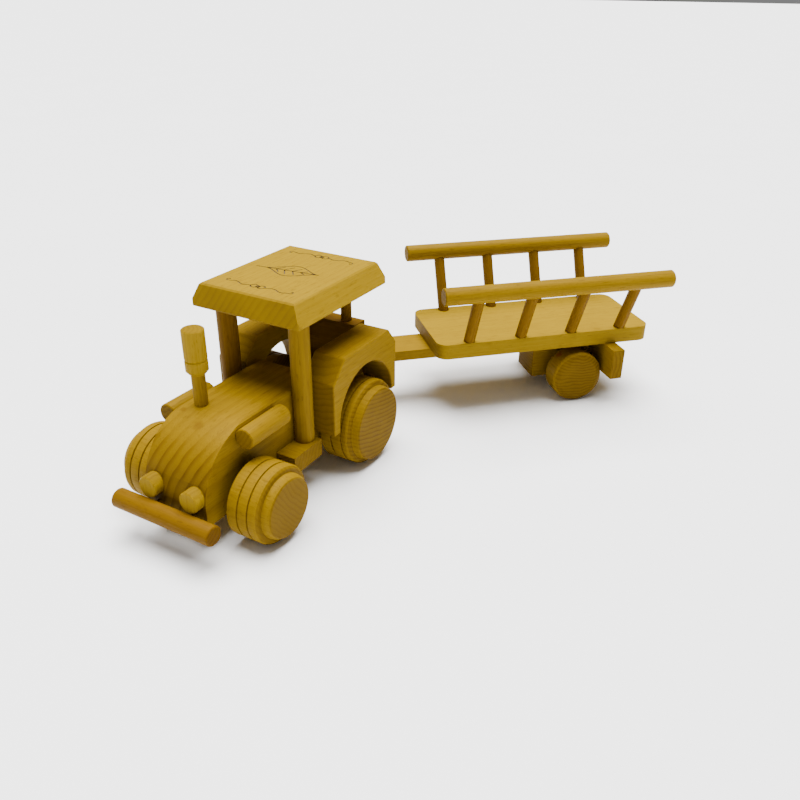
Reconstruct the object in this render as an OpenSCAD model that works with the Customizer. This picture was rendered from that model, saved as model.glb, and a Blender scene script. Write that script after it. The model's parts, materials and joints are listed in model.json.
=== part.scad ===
// Wooden toy tractor with a hitched hay trailer.
// The tractor faces -Y and its left side is +X. The wheels stand on z = 0.
// Every piece is a separate solid: blocks and planks are glued to each other,
// dowels are glued into drilled holes, and each axle turns with its two wheels.

/* [Bonnet block] */
// Width of the bonnet block
hood_w = 43; // [40:0.5:45]
// Height of the bonnet's flat top above the ground
hood_top = 64.6; // [62:0.1:68]
// Distance from the rear axle to the bonnet's front face
hood_front = 124.3; // [122:0.1:127]
// Radius of the rounded front of the bonnet
hood_nose_r = 37.5; // [34:0.5:40]
// Height of the rounding along the bonnet's long top edges
hood_bevel = 2.4; // [1:0.1:4]

/* [Cab] */
// Width of the roof board at its lower edge
roof_w = 77; // [74:0.5:80]
// Length of the roof board at its lower edge
roof_l = 92; // [88:0.5:96]
// Thickness of the roof board
roof_t = 14; // [12:0.5:16]
// Height of the roof's underside above the ground
roof_z = 108.5; // [104:0.5:114]
// Diameter of the two front roof posts
post_d = 12; // [10:0.5:12]
// Diameter of the two rear roof posts
rear_post_d = 7; // [6:0.5:8]
// Height of the top of the mudguards above the ground
fender_top = 80.2; // [78:0.1:84]
// Thickness of each mudguard block
fender_t = 21.7; // [18:0.1:23]

/* [Wheels] */
// Radius of the front wheels
front_wheel_r = 22.6; // [21:0.1:23.5]
// Radius of the rear wheels
rear_wheel_r = 27.4; // [26:0.1:28.5]
// Radius of the trailer wheels
trailer_wheel_r = 18.7; // [17.5:0.1:19]
// Diameter of the three axle rods
axle_d = 6; // [5:0.5:7]

/* [Trailer] */
// Width of the load bed
bed_w = 69.4; // [66:0.2:74]
// Length of the load bed
bed_l = 161.8; // [156:0.2:168]
// Thickness of the load bed
bed_t = 10.8; // [9:0.2:12]
// Height of the load bed's top above the ground
bed_top = 53; // [52:0.5:56]
// Diameter of the two side rails
rail_d = 12; // [10:0.5:13]
// Height of the side rails' centre lines above the ground
rail_z = 93.6; // [86:0.2:98]
// Diameter of the eight stakes
stake_d = 7.8; // [6:0.2:8.6]
// Turn of the trailer away from straight behind the tractor, in degrees
hitch_turn = 45.8; // [0:0.1:60]

/* [Output] */
// Sub-part to build, or all of them

/* [Hidden] */
$fn = 96;
run_gap = 0.08;        // radial clearance of every turning pin
edge = 0.6;            // small chamfer on dowel and wheel edges
far = 400;             // longer than any piece, for cutting tools

// bonnet and chassis
hood_x = hood_w / 2;
hood_bottom = 16.5;
hood_rear_y = -23.8;
front_axle_y = -94.7;
front_axle_z = front_wheel_r;
rear_axle_z = rear_wheel_r;
bore_r = axle_d / 2 + run_gap;
seat_z = 44;
chassis_rear_y = 35;
fender_in = hood_x;
fender_out = fender_in + fender_t;
fender_front_y = -36.1;
fender_front_low = 33.4;
fender_rear_low = 36.6;
fender_nose_l = 12.4;
fender_nose_h = 13.4;
fender_tail_l = 8.5;
fender_tail_h = 10.4;
arch_r = rear_wheel_r + 2.6;
arch_z = rear_axle_z + 9.6;

// running board under the front of the cab
board_front_y = -64.9;
board_rear_y = -38.2;
board_x = 34.6;
board_z = 20.1;
board_top = 31.3;

// bumper and lamps
bumper_x = 34.2;
bumper_r = 5.6;
bumper_y = -hood_front - 8.9;
bumper_z = 22;
peg_r = 2.3;
peg_z = bumper_z - 1.2;
peg_x = 12;
peg_depth = 12;
lamp_x = 14.5;
lamp_z = 33;
lamp_r = 6.3;
lamp_out = 5.3;
lamp_seat = 3;

// dowels along the bonnet's flanks
flank_r = 6;
flank_groove = 0.3;
flank_x = hood_x + flank_r - flank_groove;
flank_z = hood_top - flank_r;
flank_front_y = -97;
flank_rear_y = -63.5;

// exhaust pipe
pipe_x = -11.1;
pipe_y = -86.4;
stem_r = 3.9;
muffler_r = 6.3;
muffler_z = 83.5;
muffler_h = 26.5;
muffler_groove_z = 8.8;
pipe_seat = 8;

// roof and its posts
roof_front_y = -59.3;
roof_side_in = 5.6;
roof_end_in = 4.2;
roof_corner_r = 4;
post_r = post_d / 2;
post_x = 26.2;
post_y = -43.5;
post_seat = 5;
rear_post_r = rear_post_d / 2;
rear_post_x = 11.1;
rear_post_y = 26.5;
wall_front_y = 20.6;
wall_t = 11.6;

// hitch
hitch_y = 68.5;
tow_x = 11;
tow_t = 8;
tow_end_r = 11;
tow_seat_y = 16;
hitch_r = 4;
hitch_gap = 0.4;
draw_x = 14;
draw_t = 7.2;
draw_top = bed_top - bed_t;
tow_z = draw_top - draw_t - hitch_gap - tow_t;
draw_nose = 13;
draw_cut = 6;

// trailer, measured straight back from the hitch peg
bed_mid = 124;
bed_front = bed_mid - bed_l / 2;
bed_corner_r = 8;
rail_x = 47.6;
rail_l = bed_l + 4.2;
rail_r = rail_d / 2;
stake_r = stake_d / 2;
stake_x = 30.4;
stake_pitch = 38.4;
stake_seat = 8;
stake_lean = atan2(rail_x - stake_x, rail_z - bed_top);
stake_len = norm([rail_x - stake_x, rail_z - bed_top]);
beam_x = 13.3;
beam_bottom = 10.5;
beam_rear = bed_mid + 45.6;
cross_x = 49;
cross_t = 9;
cross_bottom = 20;
trailer_axle = bed_mid + 25.5;

// wheel widths and places along the axles
front_wheel_in = 28.2;
front_wheel_w = 25.2;
rear_wheel_in = 25.5;
rear_wheel_w = 25.9;
trailer_wheel_in = 22.6;
trailer_wheel_w = 17;
wheel_seat = 14;
trailer_seat = 9;

// half of the overall width and length, so that the base's middle is the origin
trail_reach = bed_mid + rail_l / 2;
side_reach = rail_x + rail_r;
span_left = -(front_wheel_in + front_wheel_w);
span_right = side_reach * cos(hitch_turn) + trail_reach * sin(hitch_turn);
span_front = bumper_y - bumper_r;
span_rear = hitch_y + trail_reach * cos(hitch_turn) + side_reach * sin(hitch_turn);
mid_x = (span_left + span_right) / 2;
mid_y = (span_front + span_rear) / 2;

beech = [0.78, 0.60, 0.28];
beech_light = [0.84, 0.68, 0.36];
beech_dark = [0.62, 0.44, 0.18];

// ---- placing helpers ----

// puts a piece drawn around the tractor's rear axle into the shared frame
module on_tractor() { translate([-mid_x, -mid_y, 0]) children(); }

// puts a piece drawn straight behind the hitch peg into the shared frame
module on_trailer() {
    on_tractor() translate([0, hitch_y, 0]) rotate([0, 0, -hitch_turn]) children();
}

// draws a flat outline in (y, z) and gives it a width along x, centred
module across(w) { rotate([90, 0, 90]) linear_extrude(height = w, center = true) children(); }

// turned piece: outline in (radius, length) turned about +X
module turned_x() { rotate([90, 0, 90]) rotate_extrude() children(); }

// round rod along +Z with chamfered ends
module rod(r, h) {
    rotate_extrude() polygon([[0, 0], [r - edge, 0], [r, edge], [r, h - edge], [r - edge, h], [0, h]]);
}

// round rod along +Y, from y0 to y1
module rod_y(r, y0, y1) { translate([0, y0, 0]) rotate([-90, 0, 0]) rod(r, y1 - y0); }

// round rod along X, centred
module rod_x(r, half) { translate([-half, 0, 0]) rotate([0, 90, 0]) rod(r, 2 * half); }

// drilled hole along X through a centred block
module bore_x(r) { rotate([0, 90, 0]) cylinder(r = r, h = far, center = true); }

module box(x0, x1, y0, y1, z0, z1) {
    translate([x0, y0, z0]) cube([x1 - x0, y1 - y0, z1 - z0]);
}

module round_rect(w, l, r) {
    union() {
        square([w - 2 * r, l], center = true);
        square([w, l - 2 * r], center = true);
        for (sx = [-1, 1], sy = [-1, 1])
            translate([sx * (w / 2 - r), sy * (l / 2 - r)]) circle(r = r);
    }
}

// ---- tractor: blocks and planks ----

module hood_outline() {
    nose_y = -hood_front + hood_nose_r;
    nose_z = hood_top - hood_nose_r;
    translate([nose_y, hood_bottom]) square([hood_rear_y - nose_y, hood_top - hood_bottom]);
    translate([-hood_front, hood_bottom]) square([hood_front + hood_rear_y, nose_z - hood_bottom]);
    intersection() {
        translate([nose_y, nose_z]) circle(r = hood_nose_r, $fn = 180);
        translate([-hood_front, hood_bottom]) square([hood_front, hood_top - hood_bottom]);
    }
}

module engine_hood() color(beech) on_tractor() difference() {
    across(hood_w) hood_outline();
    // rounded long top edges
    for (s = [0, 1]) mirror([s, 0, 0]) rotate([90, 0, 0]) linear_extrude(height = far, center = true)
        polygon([[hood_x - hood_bevel * 0.65, hood_top], [hood_x - hood_bevel * 0.2, hood_top - hood_bevel * 0.35],
            [hood_x, hood_top - hood_bevel], [hood_x + hood_bevel, hood_top - hood_bevel],
            [hood_x + hood_bevel, hood_top + hood_bevel], [hood_x - hood_bevel * 0.65, hood_top + hood_bevel]]);
    // slot that the running board is glued into
    box(-far / 2, far / 2, board_front_y, board_rear_y, hood_bottom - 1, board_top);
    translate([0, front_axle_y, front_axle_z]) bore_x(bore_r);
    for (s = [-1, 1]) {
        // hollow that the front post stands in
        translate([s * post_x, post_y, board_top - 1]) cylinder(r = post_r, h = far);
        lamp_hole(s);
        bumper_peg(s);
        translate([s * flank_x, 0, flank_z]) rotate([-90, 0, 0])
            translate([0, 0, flank_front_y]) cylinder(r = flank_r, h = flank_rear_y - flank_front_y);
    }
    translate([pipe_x, pipe_y, hood_top - pipe_seat]) cylinder(r = stem_r, h = far);
}

module chassis_block() color(beech) on_tractor() difference() {
    box(-fender_in, fender_in, hood_rear_y, chassis_rear_y, hood_bottom, seat_z);
    translate([0, 0, rear_axle_z]) bore_x(bore_r);
    box(-tow_x, tow_x, tow_seat_y, chassis_rear_y + 1, tow_z, tow_z + tow_t);
}

module running_board() color(beech) on_tractor() difference() {
    box(-board_x, board_x, board_front_y, board_rear_y, board_z, board_top);
    for (s = [-1, 1])
        translate([s * post_x, post_y, board_top - post_seat]) cylinder(r = post_r, h = post_seat + 1);
}

module fender(s) color(beech) on_tractor() translate([s * (fender_in + fender_t / 2), 0, 0])
    across(fender_t) difference() {
        polygon([[fender_front_y, fender_front_low], [fender_front_y, fender_top - fender_nose_h],
            [fender_front_y + fender_nose_l, fender_top], [chassis_rear_y - fender_tail_l, fender_top],
            [chassis_rear_y, fender_top - fender_tail_h], [chassis_rear_y, fender_rear_low]]);
        translate([0, arch_z]) circle(r = arch_r, $fn = 180);
    }

module fender_left() fender(1);
module fender_right() fender(-1);

module rear_wall() color(beech_dark) on_tractor() difference() {
    box(-fender_in, fender_in, wall_front_y, wall_front_y + wall_t, seat_z, fender_top);
    for (s = [-1, 1])
        translate([s * rear_post_x, rear_post_y, fender_top - post_seat])
            cylinder(r = rear_post_r, h = post_seat + 1);
}

module roof() color(beech_light) on_tractor() difference() {
    translate([0, roof_front_y + roof_l / 2, roof_z]) intersection() {
        linear_extrude(height = roof_t) round_rect(roof_w, roof_l, roof_corner_r);
        across(roof_w) roof_outline(roof_l / 2, roof_end_in);
        rotate([0, 0, 90]) across(roof_l) roof_outline(roof_w / 2, roof_side_in);
    }
    for (s = [-1, 1]) {
        translate([s * post_x, post_y, roof_z - 1]) cylinder(r = post_r, h = post_seat + 1);
        translate([s * rear_post_x, rear_post_y, roof_z - 1]) cylinder(r = rear_post_r, h = post_seat + 1);
    }
}

// side view of the roof board, half length h, with its long upper bevel
module roof_outline(h, inset) {
    polygon([[-h + 1.2, 0], [-h + 0.3, 0.4], [-h, 1.3],
        [-h + inset - 0.5, roof_t - 1.3], [-h + inset + 0.5, roof_t - 0.4], [-h + inset + 1.8, roof_t],
        [h - inset - 1.8, roof_t], [h - inset - 0.5, roof_t - 0.4], [h - inset + 0.5, roof_t - 1.3],
        [h, 1.3], [h - 0.3, 0.4], [h - 1.2, 0]]);
}

module tow_bar() color(beech) on_tractor() difference() {
    translate([0, 0, tow_z]) linear_extrude(height = tow_t) {
        translate([-tow_x, tow_seat_y]) square([2 * tow_x, hitch_y - tow_seat_y]);
        translate([0, hitch_y]) circle(r = tow_end_r);
    }
    translate([0, hitch_y, 0]) cylinder(r = hitch_r, h = far);
}

// ---- tractor: dowels ----

module front_bumper() color(beech) on_tractor() difference() {
    translate([0, bumper_y, bumper_z]) rod_x(bumper_r, bumper_x);
    for (s = [-1, 1]) bumper_peg(s);
}

module bumper_peg(s) {
    translate([s * peg_x, bumper_y, peg_z]) rotate([-90, 0, 0])
        cylinder(r = peg_r, h = -hood_front + peg_depth - bumper_y);
}

module bumper_pegs() color(beech) on_tractor() for (s = [-1, 1]) bumper_peg(s);

module lamp_hole(s) {
    translate([s * lamp_x, -hood_front - 1, lamp_z]) rotate([-90, 0, 0])
        cylinder(r = lamp_r, h = lamp_seat + 1);
}

module headlight(s) color(beech_light) on_tractor()
    translate([s * lamp_x, -hood_front - lamp_out, lamp_z]) rotate([-90, 0, 0])
        rotate_extrude() polygon([[0, 0], [lamp_r - edge, 0], [lamp_r, edge],
            [lamp_r, lamp_out + lamp_seat], [0, lamp_out + lamp_seat]]);

module headlight_left() headlight(1);
module headlight_right() headlight(-1);

module flank_dowel(s) color(beech) on_tractor()
    translate([s * flank_x, 0, flank_z]) rod_y(flank_r, flank_front_y, flank_rear_y);

module flank_dowel_left() flank_dowel(1);
module flank_dowel_right() flank_dowel(-1);

module exhaust_stem() color(beech) on_tractor()
    translate([pipe_x, pipe_y, hood_top - pipe_seat])
        cylinder(r = stem_r, h = muffler_z + pipe_seat - (hood_top - pipe_seat));

module exhaust_muffler() color(beech_light) on_tractor() difference() {
    translate([pipe_x, pipe_y, muffler_z]) rotate_extrude() polygon([
        [0, 0], [muffler_r - 2, 0], [muffler_r, 2.4],
        [muffler_r, muffler_groove_z - 0.8], [muffler_r - 0.5, muffler_groove_z],
        [muffler_r, muffler_groove_z + 0.8], [muffler_r, muffler_h - edge],
        [muffler_r - edge, muffler_h], [0, muffler_h]]);
    translate([pipe_x, pipe_y, muffler_z - 1]) cylinder(r = stem_r, h = pipe_seat + 1);
}

module post_front(s) color(beech) on_tractor()
    translate([s * post_x, post_y, board_top - post_seat])
        cylinder(r = post_r, h = roof_z + post_seat - (board_top - post_seat));

module post_front_left() post_front(1);
module post_front_right() post_front(-1);

module post_rear(s) color(beech_dark) on_tractor()
    translate([s * rear_post_x, rear_post_y, fender_top - post_seat])
        cylinder(r = rear_post_r, h = roof_z + post_seat - (fender_top - post_seat));

module post_rear_left() post_rear(1);
module post_rear_right() post_rear(-1);

module hitch_peg() color(beech_light) on_tractor()
    translate([0, hitch_y, tow_z]) rotate_extrude() polygon([[0, 0], [hitch_r, 0],
        [hitch_r, draw_top + 2 - tow_z], [hitch_r - 1.6, draw_top + 4 - tow_z], [0, draw_top + 4 - tow_z]]);

// ---- wheels and axles ----

// outline of a moulded wheel: two tread grooves, a rounded shoulder and a raised hub.
// The inner face is at length 0 and the hub's flat face at length w.
module tread_outline(r, w, g1, g2, hub_r, face_r) {
    depth = 0.9;
    half = 0.55;
    shoulder = w - 7.4;
    polygon([[0, 0], [r - edge, 0], [r, edge],
        [r, g1 - half], [r - depth, g1 - half / 2], [r - depth, g1 + half / 2], [r, g1 + half],
        [r, g2 - half], [r - depth, g2 - half / 2], [r - depth, g2 + half / 2], [r, g2 + half],
        [r, shoulder], [r - 0.6, shoulder + 1.3], [r - 1.8, shoulder + 2.2],
        [hub_r, shoulder + 2.5], [hub_r - 0.4, shoulder + 5],
        [face_r + 0.9, w - 0.5], [face_r, w], [0, w]]);
}

module front_wheel(s) color(beech) on_tractor() translate([0, front_axle_y, front_axle_z])
    mirror([s < 0 ? 1 : 0, 0, 0]) translate([front_wheel_in, 0, 0]) difference() {
        turned_x() tread_outline(front_wheel_r, front_wheel_w, 7.2, 13.9, front_wheel_r - 3.9, front_wheel_r - 6.3);
        translate([-1, 0, 0]) rotate([0, 90, 0]) cylinder(r = axle_d / 2, h = wheel_seat + 1);
    }

module front_wheel_left() front_wheel(1);
module front_wheel_right() front_wheel(-1);

module rear_wheel(s) color(beech) on_tractor() translate([0, 0, rear_axle_z])
    mirror([s < 0 ? 1 : 0, 0, 0]) translate([rear_wheel_in, 0, 0]) difference() {
        turned_x() tread_outline(rear_wheel_r, rear_wheel_w, 8, 15.4, rear_wheel_r - 3.4, rear_wheel_r - 5);
        translate([-1, 0, 0]) rotate([0, 90, 0]) cylinder(r = axle_d / 2, h = wheel_seat + 1);
    }

module rear_wheel_left() rear_wheel(1);
module rear_wheel_right() rear_wheel(-1);

module plain_rod_x(half) { rotate([0, 90, 0]) cylinder(r = axle_d / 2, h = 2 * half, center = true); }

module front_axle() color(beech_dark) on_tractor() translate([0, front_axle_y, front_axle_z])
    plain_rod_x(front_wheel_in + wheel_seat);

module rear_axle() color(beech_dark) on_tractor() translate([0, 0, rear_axle_z])
    plain_rod_x(rear_wheel_in + wheel_seat);

// ---- trailer ----

module drawbar() color(beech_light) on_trailer() difference() {
    box(-draw_x, draw_x, -draw_nose, bed_mid, draw_top - draw_t, draw_top);
    translate([0, 0, draw_top - draw_t - 1]) cylinder(r = hitch_r + run_gap, h = draw_t + 2);
    // sloped corners of the front end
    for (s = [-1, 1]) translate([s * draw_x, -draw_nose, draw_top]) rotate([0, 0, 45])
        cube([draw_cut * sqrt(2), draw_cut * sqrt(2), far], center = true);
}

module load_bed() color(beech_light) on_trailer() difference() {
    translate([0, bed_mid, bed_top - bed_t]) linear_extrude(height = bed_t)
        round_rect(bed_w, bed_l, bed_corner_r);
    for (s = [-1, 1], i = [0 : 3]) stake_rod(s, i);
}

module under_beam() color(beech_dark) on_trailer() difference() {
    box(-beam_x, beam_x, bed_mid, beam_rear, beam_bottom, draw_top);
    translate([0, trailer_axle, trailer_wheel_r]) bore_x(bore_r);
}

module rear_crossbar() color(beech) on_trailer()
    box(-cross_x, cross_x, beam_rear, beam_rear + cross_t, cross_bottom, draw_top);

// stake i on side s, leaning out from the bed to the rail's centre line
module stake_rod(s, i) {
    translate([s * stake_x, bed_mid + (i - 1.5) * stake_pitch, bed_top]) rotate([0, s * stake_lean, 0])
        translate([0, 0, -stake_seat]) cylinder(r = stake_r, h = stake_seat + stake_len);
}

module stake(s, i) color(beech_dark) on_trailer() stake_rod(s, i);

module stake_left_1() stake(1, 0);
module stake_left_2() stake(1, 1);
module stake_left_3() stake(1, 2);
module stake_left_4() stake(1, 3);
module stake_right_1() stake(-1, 0);
module stake_right_2() stake(-1, 1);
module stake_right_3() stake(-1, 2);
module stake_right_4() stake(-1, 3);

module rail(s) color(beech) on_trailer() difference() {
    translate([s * rail_x, 0, rail_z]) rod_y(rail_r, bed_mid - rail_l / 2, bed_mid + rail_l / 2);
    for (i = [0 : 3]) stake_rod(s, i);
}

module rail_left() rail(1);
module rail_right() rail(-1);

module trailer_wheel(s) color(beech) on_trailer() translate([0, trailer_axle, trailer_wheel_r])
    mirror([s < 0 ? 1 : 0, 0, 0]) translate([trailer_wheel_in, 0, 0]) difference() {
        turned_x() polygon([[0, 0], [trailer_wheel_r - edge, 0], [trailer_wheel_r, edge],
            [trailer_wheel_r, trailer_wheel_w - 3.4], [trailer_wheel_r - 0.9, trailer_wheel_w - 1.6],
            [trailer_wheel_r - 3.2, trailer_wheel_w - 0.3], [trailer_wheel_r - 4.4, trailer_wheel_w],
            [0, trailer_wheel_w]]);
        translate([-1, 0, 0]) rotate([0, 90, 0]) cylinder(r = axle_d / 2, h = trailer_seat + 1);
    }

module trailer_wheel_left() trailer_wheel(1);
module trailer_wheel_right() trailer_wheel(-1);

module trailer_axle_rod() color(beech_dark) on_trailer()
    translate([0, trailer_axle, trailer_wheel_r]) plain_rod_x(trailer_wheel_in + trailer_seat);

engine_hood();
chassis_block();
running_board();
front_bumper();
bumper_pegs();
headlight_left();
headlight_right();
flank_dowel_left();
flank_dowel_right();
exhaust_stem();
exhaust_muffler();
fender_left();
fender_right();
rear_wall();
post_front_left();
post_front_right();
post_rear_left();
post_rear_right();
roof();
tow_bar();
hitch_peg();
front_axle();
front_wheel_left();
front_wheel_right();
rear_axle();
rear_wheel_left();
rear_wheel_right();
drawbar();
load_bed();
under_beam();
rear_crossbar();
rail_left();
rail_right();
stake_left_1();
stake_left_2();
stake_left_3();
stake_left_4();
stake_right_1();
stake_right_2();
stake_right_3();
stake_right_4();
trailer_axle_rod();
trailer_wheel_left();
trailer_wheel_right();
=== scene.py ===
import json
import math
import random

import bpy
import bmesh
from mathutils import Euler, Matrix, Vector


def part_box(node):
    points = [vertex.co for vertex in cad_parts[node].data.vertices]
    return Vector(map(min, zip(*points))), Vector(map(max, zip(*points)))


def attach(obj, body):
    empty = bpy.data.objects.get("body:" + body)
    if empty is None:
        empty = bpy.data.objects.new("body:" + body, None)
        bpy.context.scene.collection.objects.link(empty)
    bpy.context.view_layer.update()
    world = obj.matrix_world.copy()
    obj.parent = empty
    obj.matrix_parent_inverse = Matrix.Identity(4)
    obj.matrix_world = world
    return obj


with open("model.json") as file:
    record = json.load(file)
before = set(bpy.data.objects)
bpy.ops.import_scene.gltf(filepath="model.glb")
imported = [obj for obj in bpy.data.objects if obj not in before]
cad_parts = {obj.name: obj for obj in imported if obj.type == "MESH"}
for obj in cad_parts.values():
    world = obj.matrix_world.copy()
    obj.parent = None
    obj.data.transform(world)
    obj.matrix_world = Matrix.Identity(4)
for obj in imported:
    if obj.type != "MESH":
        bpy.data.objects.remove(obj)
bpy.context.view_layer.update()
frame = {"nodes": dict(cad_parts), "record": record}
nodes = frame["nodes"]


# ---------- where things are ----------

def centre(node):
    a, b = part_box(node)
    return (Vector(a) + Vector(b)) / 2


def joint_axis(name):
    for j in frame["record"]["behaviour"]["joints"]:
        if j["name"] == name:
            return Vector(j["axis"]).normalized()
    raise KeyError(name)


X, Y, Z = Vector((1, 0, 0)), Vector((0, 1, 0)), Vector((0, 0, 1))
ACROSS = joint_axis("trailer_axle_spin")   # the trailer's own sideways direction
ALONG = Z.cross(ACROSS)                    # straight back along the trailer


# ---------- wood ----------

class Tree:
    """Small helper that builds a shader tree."""

    def __init__(self, name):
        self.mat = bpy.data.materials.new(name)
        self.mat.use_nodes = True
        self.t = self.mat.node_tree
        self.t.nodes.clear()

    def node(self, kind, **props):
        n = self.t.nodes.new(kind)
        for k, v in props.items():
            setattr(n, k, v)
        return n

    def put(self, socket, value):
        if isinstance(value, bpy.types.NodeSocket):
            self.t.links.new(value, socket)
        else:
            socket.default_value = value

    def math(self, op, a, b=0.0, clamp=False):
        n = self.node("ShaderNodeMath", operation=op, use_clamp=clamp)
        self.put(n.inputs[0], a)
        self.put(n.inputs[1], b)
        return n.outputs[0]

    def ramp(self, value, low, high, to_low=0.0, to_high=1.0):
        n = self.node("ShaderNodeMapRange", interpolation_type="SMOOTHSTEP")
        self.put(n.inputs["Value"], value)
        self.put(n.inputs["From Min"], low)
        self.put(n.inputs["From Max"], high)
        self.put(n.inputs["To Min"], to_low)
        self.put(n.inputs["To Max"], to_high)
        return n.outputs["Result"]

    def mix(self, factor, a, b, blend="MIX"):
        n = self.node("ShaderNodeMix", data_type="RGBA", blend_type=blend)
        self.put(n.inputs[0], factor)
        self.put(n.inputs[6], a)
        self.put(n.inputs[7], b)
        return n.outputs[2]

    def noise(self, vector, scale, detail=3.0, rough=0.55):
        n = self.node("ShaderNodeTexNoise")
        self.put(n.inputs["Vector"], vector)
        self.put(n.inputs["Scale"], scale)
        self.put(n.inputs["Detail"], detail)
        self.put(n.inputs["Roughness"], rough)
        return n.outputs["Fac"]

    def mapped(self, vector, scale=(1, 1, 1), rotation=(0, 0, 0), location=(0, 0, 0)):
        n = self.node("ShaderNodeMapping")
        self.put(n.inputs["Vector"], vector)
        self.put(n.inputs["Location"], location)
        self.put(n.inputs["Rotation"], rotation)
        self.put(n.inputs["Scale"], scale)
        return n.outputs["Vector"]


def rgb(r, g, b):
    return (r, g, b, 1.0)


def shade(colour, *factors):
    """The colour times one factor, or times one factor for each of its channels."""
    if len(factors) == 1:
        factors = factors * 3
    return rgb(*(min(1.0, c * k) for c, k in zip(colour[:3], factors)))


PALE = dict(light=rgb(0.235, 0.144, 0.0022), dark=rgb(0.150, 0.080, 0.0004), end=rgb(0.150, 0.088, 0.0006))
MID = dict(light=rgb(0.195, 0.113, 0.0008), dark=rgb(0.100, 0.047, 0.0002), end=rgb(0.130, 0.072, 0.0004))
DARK = dict(light=rgb(0.135, 0.066, 0.0004), dark=rgb(0.068, 0.026, 0.0001), end=rgb(0.095, 0.044, 0.0002))


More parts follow.
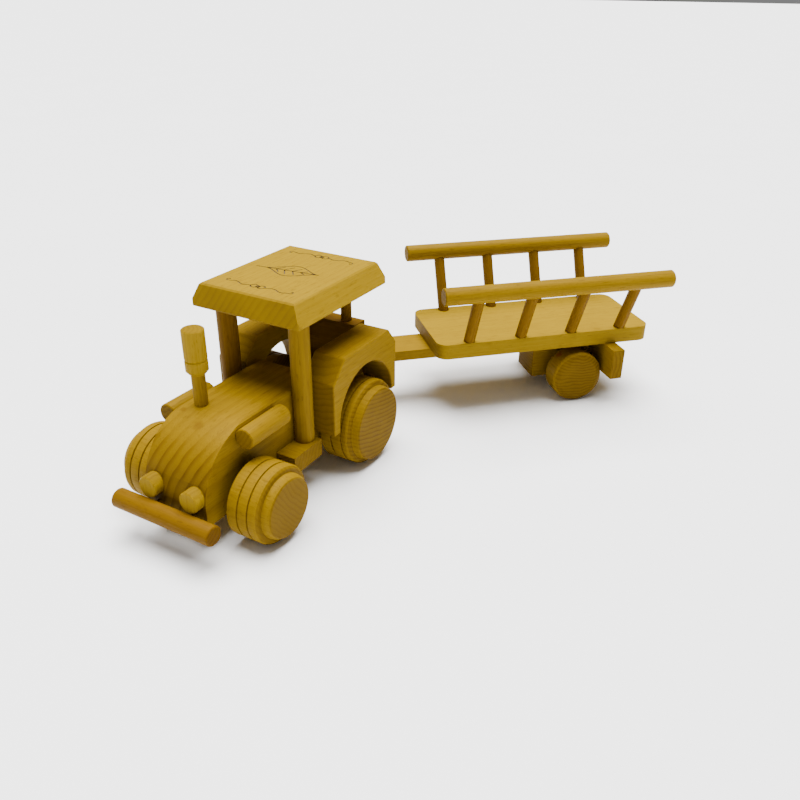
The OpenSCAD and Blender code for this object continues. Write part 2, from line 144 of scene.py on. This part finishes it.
def wood(name, grain, middle, tone, pith, ring, seed, contrast, stains, bend):
    """Oiled beech. grain is the fibre direction, middle the piece's centre and pith where the
    tree's heart lies across the fibres, both in metres. ring is the spacing of the growth rings,
    bend how far they wander, and stains are spots given as place, radius and colour."""
    t = Tree(name)
    rnd = random.Random(seed * 7919 + 13)
    turn = grain.rotation_difference(Z)
    local = turn @ middle
    coord = t.node("ShaderNodeTexCoord")
    fibre = t.mapped(coord.outputs["Object"], rotation=tuple(turn.to_euler()),
                     location=(pith[0] - local.x, pith[1] - local.y, rnd.uniform(-1, 1) - local.z))

    # growth rings, bent a little by slow noise that is stretched along the fibres
    slow = t.noise(t.mapped(fibre, scale=(1, 1, 0.25)), 38.0, 2.0)
    wob = t.math("MULTIPLY", t.math("SUBTRACT", slow, 0.5), bend)
    sep = t.node("ShaderNodeSeparateXYZ")
    t.put(sep.inputs[0], fibre)
    radius = t.math("SQRT", t.math("ADD", t.math("MULTIPLY", sep.outputs[0], sep.outputs[0]),
                                   t.math("MULTIPLY", sep.outputs[1], sep.outputs[1])))
    radius = t.math("ADD", radius, wob)
    phase = t.math("FRACT", t.math("DIVIDE", radius, ring))
    late = t.math("MULTIPLY", t.ramp(phase, 0.35, 0.93), t.ramp(phase, 0.94, 1.0, 1.0, 0.0))
    year = t.noise(t.mapped(fibre, scale=(1, 1, 0.05)), 120.0, 1.0)

    # fibres, pores and the short flecks of beech
    fine = t.noise(t.mapped(fibre, scale=(1, 1, 0.045)), 1500.0, 4.0, 0.6)
    fleck = t.ramp(t.noise(t.mapped(fibre, scale=(1, 1, 0.16)), 900.0, 2.0, 0.5), 0.60, 0.70)
    pore = t.ramp(t.noise(t.mapped(fibre, scale=(1, 1, 0.6)), 2600.0, 1.0), 0.62, 0.75)
    cloud = t.noise(fibre, 26.0, 3.0, 0.6)

    # how squarely the fibres are cut here
    dot = t.node("ShaderNodeVectorMath", operation="DOT_PRODUCT")
    t.put(dot.inputs[0], coord.outputs["Normal"])
    dot.inputs[1].default_value = tuple(grain)
    cut = t.ramp(t.math("ABSOLUTE", dot.outputs["Value"]), 0.45, 0.92)

    strength = t.math("ADD", contrast * 0.55, t.math("MULTIPLY", year, contrast * 0.7))
    ring_amount = t.math("MULTIPLY", late, strength)
    ring_amount = t.math("MULTIPLY", ring_amount, t.ramp(cut, 0.0, 0.8, 0.45, 1.15))
    side = t.mix(ring_amount, tone["light"], tone["dark"])
    ends = t.mix(t.math("MULTIPLY", ring_amount, 1.1, True), tone["end"], shade(tone["dark"], 0.62))
    body = t.mix(cut, side, ends)
    body = t.mix(t.ramp(fine, 0.3, 0.75, 0.0, 0.34), body, tone["dark"])
    fleck_amount = t.math("MULTIPLY", fleck, t.ramp(cut, 0.0, 1.0, 0.34, 0.12))
    body = t.mix(fleck_amount, body, shade(tone["dark"], 0.55))
    body = t.mix(t.math("MULTIPLY", pore, 0.12), body, rgb(0.05, 0.020, 0.001))
    body = t.mix(t.ramp(cloud, 0.35, 0.75, 0.0, 0.26), body, shade(tone["light"], 1.12, 1.10, 0.8))

    # grime from handling, in slow patches, and the piece's own stains
    moved = t.mapped(coord.outputs["Object"], location=(rnd.uniform(-3, 3), 0, 0))
    grime = t.ramp(t.noise(moved, 60.0, 5.0, 0.68), 0.56, 0.78, 0.0, 0.28)
    body = t.mix(grime, body, rgb(0.11, 0.052, 0.001))
    for spot, size, colour in stains:
        d = t.node("ShaderNodeVectorMath", operation="DISTANCE")
        t.put(d.inputs[0], coord.outputs["Object"])
        d.inputs[1].default_value = tuple(spot)
        fray = t.math("MULTIPLY", t.noise(coord.outputs["Object"], 420.0, 3.0), size * 0.8)
        ragged = t.math("ADD", d.outputs["Value"], fray)
        body = t.mix(t.ramp(ragged, size * 0.7, size * 1.3, 0.75, 0.0), body, colour)

    bsdf = t.node("ShaderNodeBsdfPrincipled")
    t.put(bsdf.inputs["Base Color"], body)
    rough = t.math("ADD", t.ramp(fine, 0.2, 0.8, 0.44, 0.60), t.math("MULTIPLY", cloud, 0.10))
    t.put(bsdf.inputs["Roughness"], t.math("ADD", rough, t.math("MULTIPLY", cut, 0.08)))
    t.put(bsdf.inputs["Specular IOR Level"], 0.045)

    height = t.math("ADD", t.math("MULTIPLY", fine, 0.55), t.math("MULTIPLY", late, 0.45))
    height = t.math("SUBTRACT", height, t.math("MULTIPLY", fleck, 0.5))
    bump = t.node("ShaderNodeBump")
    t.put(bump.inputs["Strength"], 0.22)
    t.put(bump.inputs["Distance"], 0.00022)
    t.put(bump.inputs["Height"], height)
    t.put(bsdf.inputs["Normal"], bump.outputs["Normal"])
    out = t.node("ShaderNodeOutputMaterial")
    t.put(out.inputs["Surface"], bsdf.outputs["BSDF"])
    return t.mat


def burnt(name):
    """Scorched wood at the bottom of an engraved line."""
    t = Tree(name)
    coord = t.node("ShaderNodeTexCoord")
    n = t.noise(coord.outputs["Object"], 900.0, 4.0, 0.6)
    body = t.mix(t.ramp(n, 0.3, 0.75), rgb(0.045, 0.022, 0.002), rgb(0.10, 0.055, 0.004))
    bsdf = t.node("ShaderNodeBsdfPrincipled")
    t.put(bsdf.inputs["Base Color"], body)
    t.put(bsdf.inputs["Roughness"], t.ramp(n, 0.2, 0.8, 0.62, 0.85))
    bump = t.node("ShaderNodeBump")
    t.put(bump.inputs["Strength"], 0.4)
    t.put(bump.inputs["Distance"], 0.0002)
    t.put(bump.inputs["Height"], n)
    t.put(bsdf.inputs["Normal"], bump.outputs["Normal"])
    out = t.node("ShaderNodeOutputMaterial")
    t.put(out.inputs["Surface"], bsdf.outputs["BSDF"])
    return t.mat


def stake_axis(side):
    """Direction of the stakes on one side, from the middle of their boxes."""
    rail = centre("rail_left" if side > 0 else "rail_right")
    foot = centre("stake_left_1" if side > 0 else "stake_right_1")
    out = (rail - foot).dot(ACROSS)
    up = (rail - foot).z
    return (ACROSS * out + Z * up).normalized()


# piece: fibre direction, tone, heart of the tree across the fibres, ring spacing, contrast
LOOKS = {
    "engine_hood": (Y, MID, (-0.137, -0.063), 0.0055, 0.75),
    "chassis_block": (Y, MID, (-0.06, 0.03), 0.0030, 0.5),
    "running_board": (X, MID, (0.03, 0.06), 0.0030, 0.45),
    "front_bumper": (X, DARK, (0.02, 0.012), 0.0026, 0.45),
    "bumper_pegs": (Y, DARK, (0.01, 0.012), 0.0020, 0.4),
    "headlight_left": (Z, PALE, (0.03, 0.002), 0.0022, 0.55),
    "headlight_right": (Z, PALE, (0.03, -0.003), 0.0024, 0.55),
    "flank_dowel_left": (Y, MID, (0.014, 0.01), 0.0024, 0.45),
    "flank_dowel_right": (Y, MID, (0.012, 0.014), 0.0024, 0.45),
    "exhaust_stem": (Z, MID, (0.01, 0.01), 0.0020, 0.4),
    "exhaust_muffler": (Z, PALE, (0.012, 0.008), 0.0024, 0.5),
    "fender_left": (Y, MID, (0.012, 0.07), 0.0036, 0.35),
    "fender_right": (Y, MID, (-0.012, 0.07), 0.0036, 0.35),
    "rear_wall": (X, DARK, (0.02, 0.05), 0.0030, 0.5),
    "post_front_left": (Z, MID, (0.012, 0.010), 0.0028, 0.5),
    "post_front_right": (Z, DARK, (0.010, 0.012), 0.0028, 0.55),
    "post_rear_left": (Z, DARK, (0.008, 0.006), 0.0020, 0.45),
    "post_rear_right": (Z, DARK, (0.006, 0.008), 0.0020, 0.45),
    "roof": (Y, PALE, (-0.150, -0.090), 0.0040, 0.42),
    "tow_bar": (Y, MID, (0.02, 0.03), 0.0028, 0.4),
    "hitch_peg": (Z, PALE, (0.006, 0.006), 0.0018, 0.4),
    "drawbar": (ALONG, MID, (0.02, 0.04), 0.0040, 0.2),
    "load_bed": (ALONG, PALE, (0.035, 0.075), 0.0032, 0.36),
    "under_beam": (ALONG, MID, (0.03, 0.03), 0.0026, 0.6),
    "rear_crossbar": (ACROSS, MID, (0.03, 0.03), 0.0026, 0.55),
    "rail_left": (ALONG, MID, (0.013, 0.012), 0.0028, 0.45),
    "rail_right": (ALONG, MID, (0.012, 0.014), 0.0028, 0.45),
    "front_axle": (X, DARK, (0.006, 0.006), 0.0016, 0.4),
    "rear_axle": (X, DARK, (0.006, 0.006), 0.0016, 0.4),
    "trailer_axle_rod": (ACROSS, DARK, (0.006, 0.006), 0.0016, 0.4),
    "front_wheel_left": (X, MID, (0.040, -0.055), 0.0026, 0.30),
    "front_wheel_right": (X, MID, (0.035, 0.060), 0.0026, 0.30),
    "rear_wheel_left": (X, MID, (0.136, -0.034), 0.0028, 0.70),
    "rear_wheel_right": (X, MID, (0.070, 0.030), 0.0026, 0.60),
    "trailer_wheel_left": (ACROSS, MID, (0.030, -0.030), 0.0022, 0.65),
    "trailer_wheel_right": (ACROSS, MID, (0.030, 0.034), 0.0022, 0.65),
}
for i in range(1, 5):
    LOOKS["stake_left_%d" % i] = (stake_axis(1), DARK, (0.008 + 0.001 * i, 0.007), 0.0020, 0.45)
    LOOKS["stake_right_%d" % i] = (stake_axis(-1), DARK, (0.007, 0.008 + 0.001 * i), 0.0020, 0.45)

tread_spot = centre("trailer_wheel_left") - ACROSS * 0.003 - ALONG * 0.011 + Z * 0.0145
pipe = centre("exhaust_stem")
hood_top_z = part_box("engine_hood")[1][2]
OIL = rgb(0.130, 0.064, 0.0001)
STAINS = {
    "trailer_wheel_left": [(tread_spot, 0.0042, rgb(0.15, 0.028, 0.002))],
    "engine_hood": [(Vector((pipe.x + 0.0110, pipe.y - 0.0150, hood_top_z - 0.0030)), 0.0044, OIL),
                    (Vector((pipe.x - 0.0055, pipe.y - 0.0085, hood_top_z - 0.0010)), 0.0028, OIL)],
}
STRAIGHT = {"engine_hood", "rear_wheel_left", "roof"}

UNBEVELLED = {"bumper_pegs", "front_axle", "rear_axle", "trailer_axle_rod", "exhaust_stem", "hitch_peg",
              "drawbar", "tow_bar"}



def edge_width(name):
    """How far a piece's edges are softened, in metres."""
    if "wheel" in name:
        return 0.00025
    return 0.0010 if name in ("fender_left", "fender_right", "load_bed") else 0.0005


for seed, (name, obj) in enumerate(sorted(nodes.items())):
    grain, tone, pith, ring, contrast = LOOKS[name]
    mat = wood("wood_" + name, grain, centre(name), tone, pith, ring, seed, contrast,
               STAINS.get(name, ()), 0.004 if name in STRAIGHT else 0.010)
    obj.data.materials.clear()
    obj.data.materials.append(mat)
    weld = obj.modifiers.new("weld", "WELD")
    weld.merge_threshold = 0.00001
    if name not in UNBEVELLED:
        bev = obj.modifiers.new("softened_edges", "BEVEL")
        bev.width = edge_width(name)
        bev.segments = 3
        bev.limit_method = "ANGLE"
        bev.angle_limit = math.radians(24)
        bev.harden_normals = False
        bev.use_clamp_overlap = True


# ---------- engraved ornament on the roof ----------

def tube(bm, points, radius, sides=6):
    """Closed rod along the points, for cutting a groove."""
    rings = []
    count = len(points)
    for k, p in enumerate(points):
        ahead = points[min(k + 1, count - 1)] - points[max(k - 1, 0)]
        ahead.normalize()
        out = ahead.cross(Z).normalized()
        up = out.cross(ahead)
        turns = [2 * math.pi * s / sides for s in range(sides)]
        rings.append([bm.verts.new(p + (out * math.cos(a) + up * math.sin(a)) * radius) for a in turns])
    for a, b in zip(rings, rings[1:]):
        for s in range(sides):
            bm.faces.new((a[s], a[(s + 1) % sides], b[(s + 1) % sides], b[s]))
    bm.faces.new(list(reversed(rings[0])))
    bm.faces.new(rings[-1])


def spiral(mid, start, sweep, r0, r1, steps=26):
    """Flat spiral about mid: starts at angle start, turns by sweep and goes from radius r0 to r1."""
    out = []
    for k in range(steps + 1):
        f = k / steps
        a = start + sweep * f
        r = r0 + (r1 - r0) * f
        out.append(mid + Vector((math.cos(a) * r, math.sin(a) * r, 0)))
    return out


def wave(a, b, height, turns, steps=44):
    """Wavy line from a to b."""
    d = b - a
    n = Vector((-d.y, d.x, 0)).normalized()
    out = []
    for k in range(steps + 1):
        f = k / steps
        out.append(a + d * f + n * (height * math.sin(2 * math.pi * turns * f) * math.sin(math.pi * f)))
    return out


roof_low, roof_high = (Vector(v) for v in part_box("roof"))
top_z = roof_high.z
mid = (roof_low + roof_high) / 2
BORDER_HALF = 0.022   # half the length of a border
BORDER_OUT = 0.031    # from the roof's middle to each border
KNOT_HALF = 0.0045    # half the gap that the knot fills
CURL = 0.0016         # height of the waves and radius of the end curls
GROOVE_R = 0.00042    # radius of the engraved lines
strokes = []


def border(y, flip):
    """Scroll border across the roof: a wavy stem with a curl at each end and a knot in the middle."""
    m = Vector((mid.x, y, top_z))
    strokes.append(wave(m - X * BORDER_HALF, m - X * KNOT_HALF, CURL * flip, 1.0))
    strokes.append(wave(m + X * KNOT_HALF, m + X * BORDER_HALF, CURL * flip, 1.0))
    for s in (-1, 1):
        curl_mid = m + X * (s * BORDER_HALF) + Y * (CURL * flip)
        strokes.append(spiral(curl_mid, -flip * math.pi / 2, s * flip * 4.4, CURL, 0.0005))
        strokes.append(spiral(m + Vector((s * 0.0026, 0, 0)), 0.0, 2 * math.pi, 0.0021, 0.0021))
    strokes.append(spiral(m, math.pi / 2, 2 * math.pi, 0.0012, 0.0012, 18))


border(mid.y - BORDER_OUT, 1)
border(mid.y + BORDER_OUT, -1)

# a plain leaf in the middle: outline, midrib and side veins
leaf_a = Vector((mid.x - 0.018, mid.y - 0.002, top_z))
leaf_b = Vector((mid.x + 0.018, mid.y + 0.002, top_z))
rib = (leaf_b - leaf_a).normalized()
across_rib = Vector((-rib.y, rib.x, 0))
leaf_half = 0.0088
strokes.append(wave(leaf_a - rib * 0.006, leaf_b - rib * 0.002, 0.0, 0.5, 8))
for s in (-1, 1):
    strokes.append(wave(leaf_a, leaf_b, leaf_half * s, 0.5))
    for k in range(4):
        f = 0.22 + 0.15 * k
        root = leaf_a + (leaf_b - leaf_a) * f
        reach = 0.70 * leaf_half * math.sin(math.pi * (f + 0.10)) ** 2
        strokes.append(wave(root, root + rib * 0.0036 + across_rib * (s * reach), 0.0, 0.5, 4))

burn = burnt("burnt_lines")
bm = bmesh.new()
for s in strokes:
    tube(bm, s, GROOVE_R)
bmesh.ops.recalc_face_normals(bm, faces=bm.faces)
groove_mesh = bpy.data.meshes.new("groove_cutter")
bm.to_mesh(groove_mesh)
bm.free()
groove_mesh.materials.append(burn)
cutter = bpy.data.objects.new("groove_cutter", groove_mesh)
bpy.context.scene.collection.objects.link(cutter)
cutter.hide_render = True
cutter.hide_viewport = True
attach(cutter, "tractor")
cut = nodes["roof"].modifiers.new("engraving", "BOOLEAN")
cut.operation = "DIFFERENCE"
cut.object = cutter
cut.solver = "EXACT"
cut.use_self = True
cut.material_mode = "TRANSFER"


# ---------- floor, light and camera ----------

def floor(size, tint):
    me = bpy.data.meshes.new("floor")
    h = size / 2
    me.from_pydata([(-h, -h, 0), (h, -h, 0), (h, h, 0), (-h, h, 0)], [], [(0, 1, 2, 3)])
    ob = bpy.data.objects.new("floor", me)
    bpy.context.scene.collection.objects.link(ob)
    t = Tree("floor_paper")
    coord = t.node("ShaderNodeTexCoord")
    n = t.noise(coord.outputs["Object"], 6.0, 2.0)
    bsdf = t.node("ShaderNodeBsdfPrincipled")
    t.put(bsdf.inputs["Base Color"], t.mix(t.ramp(n, 0.3, 0.7), tint, shade(tint, 0.985)))
    t.put(bsdf.inputs["Roughness"], 0.9)
    t.put(bsdf.inputs["Specular IOR Level"], 0.1)
    out = t.node("ShaderNodeOutputMaterial")
    t.put(out.inputs["Surface"], bsdf.outputs["BSDF"])
    me.materials.append(t.mat)


floor(44.0, rgb(0.92, 0.92, 0.92))


def area(name, where, aim, size, power, tint=(1, 1, 1)):
    li = bpy.data.lights.new(name, "AREA")
    li.shape = "RECTANGLE"
    li.size, li.size_y = size
    li.energy = power
    li.color = tint
    ob = bpy.data.objects.new(name, li)
    ob.location = where
    ob.rotation_euler = (Vector(aim) - Vector(where)).to_track_quat("-Z", "Y").to_euler()
    bpy.context.scene.collection.objects.link(ob)


aim = (0.0, 0.0, 0.05)
area("key", (-0.35, -1.0, 1.2), aim, (0.9, 0.7), 2.5)

overhead = bpy.data.lights.new("overhead", "SUN")
overhead.energy = 12.5
overhead.angle = math.radians(55)
lamp = bpy.data.objects.new("overhead", overhead)
lamp.rotation_euler = Vector((-0.06, 0.18, 1.0)).to_track_quat("Z", "Y").to_euler()
bpy.context.scene.collection.objects.link(lamp)

world = bpy.data.worlds.new("studio")
bpy.context.scene.world = world
world.use_nodes = True
bg = world.node_tree.nodes["Background"]
bg.inputs["Color"].default_value = (1, 1, 1, 1)
bg.inputs["Strength"].default_value = 0.22

cam_data = bpy.data.cameras.new("camera")
cam = bpy.data.objects.new("camera", cam_data)
bpy.context.scene.collection.objects.link(cam)
azimuth, elevation, roll = (math.radians(v) for v in (29.28, 27.64, 0.68))
cam.location = centre("rear_axle") + Vector((0.27229, -0.36089, 0.24414))
back = Vector((math.sin(azimuth) * math.cos(elevation),
               -math.cos(azimuth) * math.cos(elevation),
               math.sin(elevation)))
look = back.to_track_quat("Z", "Y")
cam.rotation_euler = (look @ Euler((0, 0, roll)).to_quaternion()).to_euler()
cam_data.sensor_width = 36.0
cam_data.lens = 34.86
cam_data.shift_x = -0.006
cam_data.shift_y = -0.0099
cam_data.clip_start = 0.01
cam_data.clip_end = 50.0
bpy.context.scene.camera = cam
